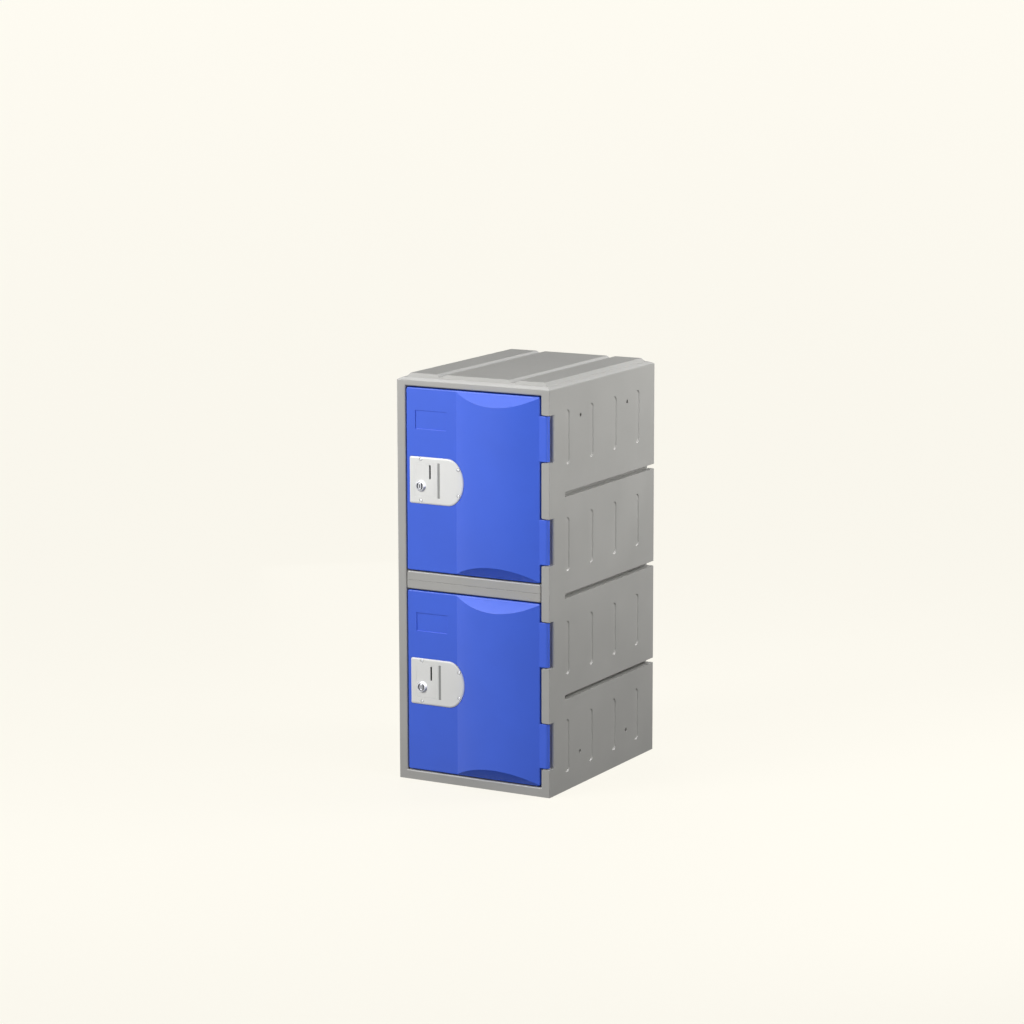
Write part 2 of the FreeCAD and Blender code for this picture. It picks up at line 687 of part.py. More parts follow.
def strike(centre):
    x1 = STILE + STRIKE_THICK
    low, high = centre - LOCK_DROP - STRIKE_HALF, centre - LOCK_DROP + STRIKE_HALF
    bracket = join([
        box(STILE, x1, STRIKE_FRONT, COLUMN_DEPTH + STRIKE_LEG_DEPTH, low, high),
        box(STILE, STRIKE_REACH, STRIKE_FRONT, STRIKE_FRONT + STRIKE_THICK, low, high),
    ])
    hole_r = STRIKE_SCREW_R + HOLE_GROWTH
    length = STRIKE_THICK + 2 * OVERSHOOT
    return cut(bracket, [rod(ALONG_X, STILE - OVERSHOOT, y, z, hole_r, length)
                         for y, z in strike_screw_places(centre)])


def strike_screws():
    x = STILE + STRIKE_THICK
    inward = ALONG_X.negative()
    return Part.makeCompound([
        pan_screw(Vector(x, y, z), inward, STRIKE_SCREW_R, STRIKE_THICK + LINER, STRIKE_HEAD_R,
                  STRIKE_HEAD_HEIGHT)
        for centre in DOOR_CENTRES.values() for y, z in strike_screw_places(centre)
    ])


def strike_pilots():
    x0 = STILE - LINER - OVERSHOOT
    return [rod(ALONG_X, x0, y, z, STRIKE_SCREW_R, LINER + 2 * OVERSHOOT)
            for centre in DOOR_CENTRES.values() for y, z in strike_screw_places(centre)]


# ---- door skin ----
def bulge_radius():
    half = (BULGE_END - BULGE_START) / 2
    return (half ** 2 + BULGE_CROWN ** 2) / (2 * BULGE_CROWN)


def bulge(inset, back):
    """The convex front of a door between two sloping end cuts, with its walls moved in by inset."""
    middle = (BULGE_START + BULGE_END) / 2
    radius = bulge_radius()
    drum = rod(ALONG_Z, middle, radius - BULGE_CROWN, -DOOR_HALF, radius - inset, 2 * DOOR_HALF)
    end = DOOR_HALF - DOOR_EDGE - inset * math.hypot(1, FACET_SLOPE)
    front = -BULGE_CROWN - OVERSHOOT
    x0 = BULGE_START + inset
    outline = [Vector(x0, y, sign * (end + FACET_SLOPE * y))
               for y, sign in ((back, -1), (back, 1), (front, 1), (front, -1))]
    return drum.common(prism(outline, Vector(BULGE_END - inset - x0, 0, 0)))


def plate_outline(y, grow):
    """Outline with rounded left corners and a half-ellipse end, in the upright plane at y."""
    x0 = PLATE_LEFT - grow
    radius = PLATE_CORNER + grow
    bend = radius * (1 - math.sqrt(0.5))
    low, high = -PLATE_DROP - PLATE_HALF - grow, -PLATE_DROP + PLATE_HALF + grow
    top = Vector(PLATE_ROUND_START, y, high)
    bottom = Vector(PLATE_ROUND_START, y, low)
    nose = Vector(PLATE_ROUND_START + PLATE_ROUND + grow, y, -PLATE_DROP)
    ellipse = Part.Ellipse(top, nose, Vector(PLATE_ROUND_START, y, -PLATE_DROP))
    return Part.Wire([
        Part.makeLine(Vector(x0, y, low + radius), Vector(x0, y, high - radius)),
        arc(Vector(x0, y, high - radius), Vector(x0 + bend, y, high - bend), Vector(x0 + radius, y, high)),
        Part.makeLine(Vector(x0 + radius, y, high), top),
        Part.ArcOfEllipse(ellipse, 0, math.pi).toShape(),
        Part.makeLine(bottom, Vector(x0 + radius, y, low)),
        arc(Vector(x0 + radius, y, low), Vector(x0 + bend, y, low + bend), Vector(x0, y, low + radius)),
    ])


def plate_pocket(extra):
    """Space in the bulge around the lock plate, with its walls moved out by extra."""
    front = -BULGE_CROWN - 2 * OVERSHOOT
    grow = PLATE_GAP + extra * POCKET_WALL
    return loft([
        plate_outline(extra, grow - POCKET_DRAFT * extra),
        plate_outline(front, grow - POCKET_DRAFT * front),
    ])


def plate_recess():
    """Shallow seat of the lock plate in the flat front."""
    face = Part.Face(plate_outline(-OVERSHOOT, PLATE_GAP))
    return face.extrude(Vector(0, OVERSHOOT + PLATE_SEAT, 0))


def upright_slot(x, width, low, high, y0, y1):
    """A slot with square ends through the door's front."""
    return box(x - width / 2, x + width / 2, y0, y1, low, high)


def tab(z):
    """One hinge knuckle: a flush plate that ends in a round nose around the rod."""
    z0, z1 = z - TAB_HEIGHT / 2, z + TAB_HEIGHT / 2
    plate = box(DOOR_RIGHT - TAB_ROOT, NOSE_X, 0, TAB_THICK, z0, z1)
    nose = rod(ALONG_Z, NOSE_X, NOSE_R, z0, NOSE_R, TAB_HEIGHT)
    knuckle = join([plate, nose])
    return round_edges(knuckle, TAB_ROUND, lambda p: near(p.z, z0) or near(p.z, z1))


def door_block():
    block = box(DOOR_LEFT, DOOR_RIGHT, 0, DOOR_DEPTH, -DOOR_HALF, DOOR_HALF)
    corners = [e for e in block.Edges if not near(e.Vertexes[0].Point.y, e.Vertexes[1].Point.y)]
    block = block.makeFillet(DOOR_CORNER, corners)
    return round_edges(block, DOOR_EDGE, lambda p: near(p.y, 0))


def liner_screw_places():
    return [(x, z) for x in LINER_SCREW_X for z in LINER_SCREW_Z]


def door_skin():
    outer = join([door_block(), bulge(0, BULGE_ROOT), tab(TAB_OFFSET), tab(-TAB_OFFSET)])
    hollow = join([
        box(DOOR_LEFT + WALL, DOOR_RIGHT - WALL, WALL, DOOR_DEPTH + OVERSHOOT,
            -DOOR_HALF + WALL, DOOR_HALF - WALL),
        bulge(WALL, WALL + OVERSHOOT / 2).cut(plate_pocket(WALL)),
    ])
    liner_face = DOOR_DEPTH - DOOR_LINER
    bosses = [rod(ALONG_Y, x, -OVERSHOOT, z, BOSS_R, liner_face + OVERSHOOT)
              for x, z in liner_screw_places()]
    bosses += [rod(ALONG_Y, x, OVERSHOOT, z, BOSS_R, BOSS_DEPTH - OVERSHOOT) for x, z in PLATE_SCREWS]
    skin = cut(outer, [plate_pocket(0), plate_recess(), cut(hollow, bosses)])
    label_x0, label_x1, label_z0, label_z1 = LABEL
    window_x0, window_x1, window_z0, window_z1 = WINDOW
    channel_x, channel_width, channel_low, channel_high = LONG_SLOT
    flange = 2 * CHANNEL_FLANGE
    tools = [
        box(label_x0, label_x1, -OVERSHOOT, LABEL_DEPTH, label_z0, label_z1),
        box(window_x0, window_x1, -OVERSHOOT, WALL + OVERSHOOT, window_z0, window_z1),
        upright_slot(channel_x, channel_width + flange, channel_low - flange, channel_high + flange,
                     -OVERSHOOT, WALL + OVERSHOOT),
        rod(ALONG_Z, HINGE_X, HINGE_Y, -DOOR_HALF, ROD_R + ROD_CLEARANCE, 2 * DOOR_HALF),
    ]
    pilot = LINER_SCREW_LENGTH - DOOR_LINER + 2 * OVERSHOOT
    tools += [rod(ALONG_Y, x, liner_face - pilot, z, LINER_SCREW_R, pilot + OVERSHOOT)
              for x, z in liner_screw_places()]
    tools += [rod(ALONG_Y, x, -OVERSHOOT, z, PLATE_SCREW_R, PLATE_PILOT_DEPTH + OVERSHOOT)
              for x, z in PLATE_SCREWS]
    return cut(skin, tools)


def door_liner():
    y0 = DOOR_DEPTH - DOOR_LINER
    inset = WALL + DOOR_LINER_GAP
    sheet = box(DOOR_LEFT + inset, DOOR_RIGHT - inset, y0, DOOR_DEPTH, -DOOR_HALF + inset, DOOR_HALF - inset)
    length = DOOR_LINER + 2 * OVERSHOOT
    holes = [rod(ALONG_Y, x, y0 - OVERSHOOT, z, LINER_SCREW_R + HOLE_GROWTH, length)
             for x, z in liner_screw_places()]
    holes.append(rod(ALONG_Y, LOCK_X, y0 - OVERSHOOT, -LOCK_DROP, BARREL_OUT_R + HOLE_GROWTH, length))
    return cut(sheet, holes)


def door_liner_screws():
    forward = ALONG_Y.negative()
    return Part.makeCompound([
        pan_screw(Vector(x, DOOR_DEPTH, z), forward, LINER_SCREW_R, LINER_SCREW_LENGTH, LINER_HEAD_R,
                  LINER_HEAD_HEIGHT)
        for x, z in liner_screw_places()
    ])


def door_buffers():
    height = STOP_FRONT - DOOR_DEPTH - BUFFER_GAP
    pads = [rod(ALONG_Y, BUFFER_X, DOOR_DEPTH, z, BUFFER_R, height) for z in (-BUFFER_Z, BUFFER_Z)]
    return Part.makeCompound(pads)


# ---- lock plate ----
def lock_plate():
    rim = PLATE_BEVEL_HEIGHT - PLATE_PROUD
    blank = join([
        loft([plate_outline(-PLATE_PROUD, -PLATE_BEVEL_WIDTH), plate_outline(rim, 0)]),
        Part.Face(plate_outline(rim, 0)).extrude(Vector(0, PLATE_SEAT - rim, 0)),
    ])
    front = -PLATE_PROUD - OVERSHOOT
    back = PLATE_SEAT + OVERSHOOT
    x, width, low, high = LONG_SLOT
    window_x0, window_x1, window_z0, window_z1 = WINDOW
    tools = [
        upright_slot(x, width, low, high, front, back),
        box(window_x0, window_x1, front, back, window_z0, window_z1),
    ]
    hole_r = PLATE_SCREW_R + HOLE_GROWTH
    tools += [rod(ALONG_Y, sx, front, sz, hole_r, back - front) for sx, sz in PLATE_SCREWS]
    bore = OVERSHOOT + PLATE_HEAD_HEIGHT
    tools += [rod(ALONG_Y, sx, front, sz, PLATE_BORE_R, bore) for sx, sz in PLATE_SCREWS]
    return cut(blank, tools)


def plate_screws():
    return Part.makeCompound([
        pan_screw(Vector(x, PLATE_HEAD_HEIGHT - PLATE_PROUD, z), ALONG_Y, PLATE_SCREW_R,
                  PLATE_SCREW_LENGTH - PLATE_HEAD_HEIGHT, PLATE_HEAD_R, PLATE_HEAD_HEIGHT)
        for x, z in PLATE_SCREWS
    ])


def slot_channel():
    """Grey insert that closes the long slot just behind the plate's surface."""
    x, width, low, high = LONG_SLOT
    fit = CHANNEL_FIT
    flange = 2 * (CHANNEL_FLANGE - fit)
    nose = upright_slot(x, width - 2 * fit, low + fit, high - fit,
                        CHANNEL_SUNK - PLATE_PROUD, PLATE_SEAT + fit)
    body = upright_slot(x, width + flange, low - flange, high + flange, PLATE_SEAT, WALL)
    return join([nose, body])


# ---- coin lock ----
def lock_case():
    window_x0, window_x1, window_z0, window_z1 = WINDOW
    x0, x1, z0, z1 = CASE_BODY
    face = box(window_x0 + CASE_GAP, window_x1 - CASE_GAP, -PLATE_PROUD, WALL + OVERSHOOT,
               window_z0 + CASE_GAP, window_z1 - CASE_GAP)
    body = box(x0, x1, WALL, CASE_BACK, z0, z1)
    hollow = box(x0 + CASE_WALL, x1 - CASE_WALL, WALL + CASE_WALL, CASE_BACK + OVERSHOOT,
                 z0 + CASE_WALL, z1 - CASE_WALL)
    sleeve = rod(ALONG_Y, LOCK_X, 0, -LOCK_DROP, BARREL_OUT_R + SLEEVE_WALL, CASE_BACK)
    front = -PLATE_PROUD - OVERSHOOT
    x, width, low, high = COIN_SLOT
    return cut(join([face, body]), [
        hollow.cut(sleeve),
        upright_slot(x, width, low, high, front, WALL + CASE_WALL + OVERSHOOT),
        rod(ALONG_Y, LOCK_X, front, -LOCK_DROP, BARREL_OUT_R, CASE_BACK + OVERSHOOT - front),
    ])


def lock_case_cover():
    x0, x1, z0, z1 = CASE_BODY
    back = DOOR_DEPTH - DOOR_LINER
    cover = box(x0, x1, CASE_BACK, back, z0, z1)
    length = back - CASE_BACK + 2 * OVERSHOOT
    return cover.cut(rod(ALONG_Y, LOCK_X, CASE_BACK - OVERSHOOT, -LOCK_DROP, BARREL_OUT_R, length))


def coin_chute():
    """Black mouth in the coin slot and the upright channel behind it that the coin drops into."""
    x, width, low, high = COIN_SLOT
    y0 = WALL + CASE_WALL
    bottom, top = low - COIN_DROP, high + COIN_HEADROOM
    mouth = upright_slot(x, width - 2 * COIN_FIT, low + COIN_FIT, high - COIN_FIT,
                         COIN_SUNK - PLATE_PROUD, y0 + COIN_FIT)
    channel = upright_slot(x, width + 2 * CHUTE_WALL, bottom, top, y0, CASE_BACK)
    chute_back = CASE_BACK - CHUTE_WALL
    passage = upright_slot(x, COIN_MOUTH, low + OVERSHOOT, high - OVERSHOOT, -PLATE_PROUD, chute_back)
    drop = upright_slot(x, width, bottom + CHUTE_WALL, top - CHUTE_WALL, y0 + CHUTE_WALL, chute_back)
    return cut(join([mouth, channel]), [passage, drop])


def lock_barrel():
    """Outer housing: dished bezel in front, threaded body through the door."""
    body = rod(ALONG_Y, LOCK_X, -PLATE_PROUD, -LOCK_DROP, BARREL_OUT_R, LOCK_END + PLATE_PROUD)
    foot = Vector(LOCK_X, -PLATE_PROUD, -LOCK_DROP)
    bezel = Part.makeCone(BEZEL_R, BEZEL_TOP_R, -PLATE_PROUD - BEZEL_FRONT, foot, ALONG_Y.negative())
    bezel = bezel.makeFillet(BEZEL_ROUND, rim_circles(bezel, ALONG_Y, BEZEL_FRONT))
    dish = BEZEL_FRONT + DISH_DEPTH
    seat = dish + PLUG_HEAD_SEAT
    return cut(join([body, bezel]), [
        rod(ALONG_Y, LOCK_X, BEZEL_FRONT - OVERSHOOT, -LOCK_DROP, DISH_R, OVERSHOOT + DISH_DEPTH),
        rod(ALONG_Y, LOCK_X, BEZEL_FRONT, -LOCK_DROP, PLUG_HEAD_R + PLUG_CLEARANCE, seat - BEZEL_FRONT),
        rod(ALONG_Y, LOCK_X, BEZEL_FRONT, -LOCK_DROP, PLUG_R + PLUG_CLEARANCE,
            LOCK_END + OVERSHOOT - BEZEL_FRONT),
    ])


def lock_nut():
    angles = [math.radians(60 * i) for i in range(6)]
    corners = [Vector(LOCK_X + NUT_R * math.cos(a), DOOR_DEPTH, -LOCK_DROP + NUT_R * math.sin(a))
               for a in angles]
    nut = prism(corners, Vector(0, NUT_THICK, 0))
    bore = rod(ALONG_Y, LOCK_X, DOOR_DEPTH - OVERSHOOT, -LOCK_DROP, BARREL_OUT_R, NUT_THICK + 2 * OVERSHOOT)
    return nut.cut(bore)


def lock_plug():
    """Turning core with its keyway and a raised grip in the dish; the square tail carries the cam."""
    grip_front = BEZEL_FRONT - PLUG_PROUD
    head_front = BEZEL_FRONT + DISH_DEPTH
    head_back = head_front + PLUG_HEAD_SEAT - PLUG_CLEARANCE
    grip = rod(ALONG_Y, LOCK_X, grip_front, -LOCK_DROP, GRIP_R, head_front - grip_front - PLUG_CLEARANCE)
    grip = grip.common(box(LOCK_X - GRIP_HALF, LOCK_X + GRIP_HALF, grip_front, head_front,
                           -LOCK_DROP - GRIP_R, -LOCK_DROP + GRIP_R))
    grip = round_edges(grip, GRIP_ROUND, lambda p: near(p.y, grip_front))
    grip_root = box(LOCK_X - GRIP_HALF, LOCK_X + GRIP_HALF, head_front - OVERSHOOT, head_back,
                    -LOCK_DROP - GRIP_HALF, -LOCK_DROP + GRIP_HALF)
    head = rod(ALONG_Y, LOCK_X, head_front, -LOCK_DROP, PLUG_HEAD_R, head_back - head_front)
    core_front = head_back - OVERSHOOT
    core = rod(ALONG_Y, LOCK_X, core_front, -LOCK_DROP, PLUG_R, LOCK_END + CAM_GAP - core_front)
    half = CAM_SQUARE / 2
    tail = box(LOCK_X - half, LOCK_X + half, LOCK_END, LOCK_END + CAM_GAP + CAM_THICK,
               -LOCK_DROP - half, -LOCK_DROP + half)
    half_width, half_height, depth = KEYWAY
    keyway = box(LOCK_X - half_width, LOCK_X + half_width, grip_front - OVERSHOOT, depth,
                 -LOCK_DROP - half_height, -LOCK_DROP + half_height)
    tail_end = LOCK_END + CAM_GAP + CAM_THICK
    hole_start = LOCK_END - CAM_SCREW_HOLE
    hole = rod(ALONG_Y, LOCK_X, hole_start, -LOCK_DROP, CAM_SCREW_R, tail_end + OVERSHOOT - hole_start)
    return cut(join([grip, grip_root, head, core, tail]), [keyway, hole])


def cam():
    """Flat arm that hangs down when unlocked and turns behind the strike when locked."""
    y0 = LOCK_END + CAM_GAP
    half = CAM_WIDTH / 2
    tip = -LOCK_DROP - CAM_LENGTH + CAM_TIP_R
    outline = [
        Vector(LOCK_X - half, y0, -LOCK_DROP), Vector(LOCK_X + half, y0, -LOCK_DROP),
        Vector(LOCK_X + CAM_TIP_R, y0, tip), Vector(LOCK_X - CAM_TIP_R, y0, tip),
    ]
    arm = join([
        prism(outline, Vector(0, CAM_THICK, 0)),
        rod(ALONG_Y, LOCK_X, y0, -LOCK_DROP, half, CAM_THICK),
        rod(ALONG_Y, LOCK_X, y0, tip, CAM_TIP_R, CAM_THICK),
    ])
    side = CAM_SQUARE / 2
    return arm.cut(box(LOCK_X - side, LOCK_X + side, y0 - OVERSHOOT, y0 + CAM_THICK + OVERSHOOT,
                       -LOCK_DROP - side, -LOCK_DROP + side))


def cam_screw():
    seat = Vector(LOCK_X, LOCK_END + CAM_GAP + CAM_THICK, -LOCK_DROP)
    return pan_screw(seat, ALONG_Y.negative(), CAM_SCREW_R, CAM_SCREW_LENGTH, CAM_HEAD_R, CAM_HEAD_HEIGHT)


DOOR_PIECES = {
    "door_skin": door_skin,
    "door_liner": door_liner,
    "door_liner_screws": door_liner_screws,
    "door_buffers": door_buffers,
    "lock_plate": lock_plate,
    "lock_plate_screws": plate_screws,
    "lock_case": lock_case,
    "lock_case_cover": lock_case_cover,
    "coin_chute": coin_chute,
    "slot_channel": slot_channel,
    "lock_barrel": lock_barrel,
    "lock_nut": lock_nut,
    "lock_plug": lock_plug,
    "lock_cam": cam,
    "cam_screw": cam_screw,
}


def build():
    save("left_side_shell", mirrored(side_shell()))
    save("right_side_shell", hinge_side_shell())
    liner = side_liner()
    save("right_side_liner", liner)
    save("left_side_liner", cut(mirrored(liner), strike_pilots()))
    rails = support_rails()
    save("right_support_rails", rails)
    save("left_support_rails", mirrored(rails))
    save("top_panel", top_panel())
    save("top_liner", top_liner())
    save("upper_floor", upper_floor())
    save("lower_ceiling", lower_ceiling())
    save("base_panel", base_panel())
    save("back_panel", back_panel())
    save("shelf_screws", shelf_screws())
    save("back_screws", back_screws())
    save("upper_door_stops", door_stops(FLOOR_TOP, TOP_RAIL_BOTTOM))
    save("lower_door_stops", door_stops(BASE_TOP, CEILING_BOTTOM))
    save("strike_screws", strike_screws())
    for level, (low, high) in rod_spans().items():
        save(level + "_hinge_rod", rod(ALONG_Z, HINGE_X, HINGE_Y, low, ROD_R, high - low))
    save("hinge_rod_plug", rod(ALONG_Z, HINGE_X, HINGE_Y, 0, ROD_R + ROD_CLEARANCE, ROD_CAP))
    for level, centre in DOOR_CENTRES.items():
        save(level + "_strike", strike(centre))
        for name, make in DOOR_PIECES.items():
            piece = make()
            piece.translate(Vector(0, 0, centre))
            save(level + "_" + name, piece)


os.makedirs("parts", exist_ok=True)
build()
for node, solid in NODES.items():
    solid.exportStep("parts/" + node + ".step")
    print(f"{node:28s} solids {len(solid.Solids)}  valid {solid.isValid()}  {solid.Volume / 1000:9.2f} cm3")
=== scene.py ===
import math

import bpy
from mathutils import Matrix, Vector

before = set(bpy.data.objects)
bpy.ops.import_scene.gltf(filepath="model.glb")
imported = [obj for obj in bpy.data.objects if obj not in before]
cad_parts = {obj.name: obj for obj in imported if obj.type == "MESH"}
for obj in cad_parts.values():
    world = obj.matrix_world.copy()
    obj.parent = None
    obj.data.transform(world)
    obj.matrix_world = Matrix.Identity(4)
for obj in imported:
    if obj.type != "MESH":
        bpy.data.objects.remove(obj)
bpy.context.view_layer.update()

# ---- camera ----
# millimetres
LENS = 117.58
SENSOR = 36.0
# metres
EYE = Vector((3.5691, -6.4791, 1.9181))
NEAREST = 0.1
FARTHEST = 400.0
# radians: turned left from +Y, tilted down, rolled
YAW = 0.50835
PITCH = 0.17893
ROLL = -0.00201


def make_camera():
    forward = Vector((-math.sin(YAW) * math.cos(PITCH), math.cos(YAW) * math.cos(PITCH), -math.sin(PITCH)))
    right = Vector((math.cos(YAW), math.sin(YAW), 0))
    up = right.cross(forward)
    right, up = (
        math.cos(ROLL) * right + math.sin(ROLL) * up,
        -math.sin(ROLL) * right + math.cos(ROLL) * up,
    )
    data = bpy.data.cameras.new("camera")
    data.lens = LENS
    data.sensor_width = SENSOR
    data.clip_start, data.clip_end = NEAREST, FARTHEST
    camera = bpy.data.objects.new("camera", data)
    turn = Matrix((right, up, -forward)).transposed().to_4x4()
    camera.matrix_world = Matrix.Translation(EYE) @ turn
    bpy.context.scene.collection.objects.link(camera)
    bpy.context.scene.camera = camera


# ---- studio ----
AIM = Vector((0, 0, 0.45))

# direction the light comes from, strength, apparent size in degrees
SUN = ((-0.5, -1.0, 0.45), 0.7, 25)

SOFTBOX_SIDE = 0.8
# name, place, watts, width of the beam in degrees
SOFTBOXES = (
    ("front_left_box", (-1.0, -1.6, 1.6), 25.3, 180),
    ("right_box", (1.5, -0.4, 1.6), 5.5, 180),
    ("right_low_box", (1.6, -0.8, 0.9), 5.9, 180),
    ("rear_box", (1.4, 0.9, 1.45), 20.5, 180),
    ("rear_left_box", (-1.5, 1.9, 0.4), 0.85, 40),
)

# the surroundings' strengths
FILL = 0.31
SIDE_GLOW = 1.5
SIDE_GLOW_BEHIND = 0.03
OVERHEAD_GLOW = 3.4
REAR_GLOW = 1.9
BACKDROP = 0.93
# spans of the surroundings' gradients, as parts of a unit direction along Z
FILL_HEIGHT = (-0.7, 0.7)
SIDE_HEIGHT = (-0.65, -0.05)
OVERHEAD_HEIGHT = (0.45, 0.95)
REAR_HEIGHT = (0.3, 0.5)
# and along Y
SIDE_DEPTH = (0.1, 0.8)
REAR_DEPTH = (0.1, 0.6)

FLOOR_HALF = 160.0
FLOOR_COLOUR = (0.08, 0.078, 0.071, 1)
FLOOR_ROUGHNESS = 0.9
FLOOR_SPECULAR = 0.1
FLOOR_GLOW_COLOUR = (1.0, 0.973, 0.886, 1)
FLOOR_GLOW = 0.885


def add_light(kind, name, strength, back):
    """Light that shines against the direction back."""
    data = bpy.data.lights.new(name, kind)
    data.energy = strength
    light = bpy.data.objects.new(name, data)
    light.rotation_mode = "QUATERNION"
    light.rotation_quaternion = back.to_track_quat("Z", "Y")
    bpy.context.scene.collection.objects.link(light)
    return light


def make_sun(source, strength, angle):
    """Broad even light from the front left."""
    sun = add_light("SUN", "front_left_sun", strength, Vector(source))
    sun.data.angle = math.radians(angle)


def make_softbox(name, place, watts, spread):
    """Square soft light at a place, facing the middle of the object."""
    box = add_light("AREA", name, watts, Vector(place) - AIM)
    box.location = place
    box.data.size = SOFTBOX_SIDE
    box.data.spread = math.radians(spread)


def make_world():
    """Plain surroundings: a soft fill from below, a glow that only reflections see, and a pale backdrop."""
    world = bpy.data.worlds.new("studio")
    world.use_nodes = True
    world.cycles.sampling_method = "NONE"
    tree = world.node_tree
    direction = tree.nodes.new("ShaderNodeTexCoord").outputs["Generated"]
    parts = tree.nodes.new("ShaderNodeSeparateXYZ")
    tree.links.new(direction, parts.inputs[0])

    def gradient(axis, span, start, end):
        made = tree.nodes.new("ShaderNodeMapRange")
        made.interpolation_type = "SMOOTHSTEP"
        tree.links.new(parts.outputs[axis], made.inputs["Value"])
        ends = {"From Min": span[0], "From Max": span[1], "To Min": start, "To Max": end}
        for socket, value in ends.items():
            made.inputs[socket].default_value = value
        return made.outputs["Result"]

    def combine(operation, a, b):
        made = tree.nodes.new("ShaderNodeMath")
        made.operation = operation
        tree.links.new(a, made.inputs[0])
        tree.links.new(b, made.inputs[1])
        return made.outputs[0]

    side = combine("MULTIPLY", gradient("Z", SIDE_HEIGHT, 0.0, SIDE_GLOW),
                   gradient("Y", SIDE_DEPTH, 1.0, SIDE_GLOW_BEHIND))
    overhead = gradient("Z", OVERHEAD_HEIGHT, 0.0, OVERHEAD_GLOW)
    rear = combine("MULTIPLY", gradient("Z", REAR_HEIGHT, 0.0, REAR_GLOW),
                   gradient("Y", REAR_DEPTH, 0.0, 1.0))
    glow = combine("ADD", combine("ADD", side, overhead), rear)

    ray = tree.nodes.new("ShaderNodeLightPath").outputs
    lit = tree.nodes.new("ShaderNodeMix")
    tree.links.new(ray["Is Glossy Ray"], lit.inputs["Factor"])
    tree.links.new(gradient("Z", FILL_HEIGHT, FILL, 0.0), lit.inputs["A"])
    tree.links.new(glow, lit.inputs["B"])
    seen = tree.nodes.new("ShaderNodeMix")
    tree.links.new(ray["Is Camera Ray"], seen.inputs["Factor"])
    tree.links.new(lit.outputs["Result"], seen.inputs["A"])
    seen.inputs["B"].default_value = BACKDROP

    background = tree.nodes["Background"]
    tree.links.new(seen.outputs["Result"], background.inputs["Strength"])
    background.inputs["Color"].default_value = (1, 1, 1, 1)
    bpy.context.scene.world = world


def make_floor():
    """Pale floor that mostly glows by itself, so that the lights leave no pools on it."""
    mesh = bpy.data.meshes.new("floor")
    corners = [(x * FLOOR_HALF, y * FLOOR_HALF, 0) for x, y in ((-1, -1), (1, -1), (1, 1), (-1, 1))]
    mesh.from_pydata(corners, [], [(0, 1, 2, 3)])
    floor = bpy.data.objects.new("floor", mesh)
    bpy.context.scene.collection.objects.link(floor)
    material = bpy.data.materials.new("floor")
    material.use_nodes = True
    shader = material.node_tree.nodes["Principled BSDF"]
    shader.inputs["Base Color"].default_value = FLOOR_COLOUR
    shader.inputs["Roughness"].default_value = FLOOR_ROUGHNESS
    shader.inputs["Specular IOR Level"].default_value = FLOOR_SPECULAR
    shader.inputs["Emission Color"].default_value = FLOOR_GLOW_COLOUR
    shader.inputs["Emission Strength"].default_value = FLOOR_GLOW
    mesh.materials.append(material)
    floor.visible_diffuse = False
    floor.visible_glossy = False


# ---- materials ----
# noise scales are per metre, edge radii, depths and reaches are in metres
# the part of a noise's range that most of it lies in
NOISE_MIDDLE = (0.3, 0.7)
BEVEL_SAMPLES = 6

FLOW_SCALE = 5.0
FLOW_SHADES = (0.95, 1.05)
SHEEN_SCALE = 60.0
SHEEN_SPREAD = 0.012
GRAIN_SCALE = 1400.0
GRAIN_STRENGTH = 0.3
BUMP_DEPTH = 0.00002
PLASTIC_IOR = 1.49
PLASTIC_EDGE = 0.0008
# how far the rounded normal agrees with the flat one: on a flat, and on a full edge
EDGE_AGREEMENT = (0.995, 0.85)
# painted highlight on edges: how much of the lighter colour a full edge takes, and how much lighter it is
EDGE_HIGHLIGHT_AMOUNT = 0.6
EDGE_HIGHLIGHT_LIGHTNESS = 1.25

PLATING_SCALE = 220.0
PLATING_SHADES = (0.9, 1.08)
PLATING_STRENGTH = 0.15
METAL_EDGE = 0.0003
# painted shade in recesses: the ambient occlusion's reach and samples, the span over which it fades, and
# the darkening
RECESS_REACH = 0.006
RECESS_SAMPLES = 8
RECESS_OPENNESS = (0.25, 0.75)
RECESS_PAINTED_SHADE = 0.12


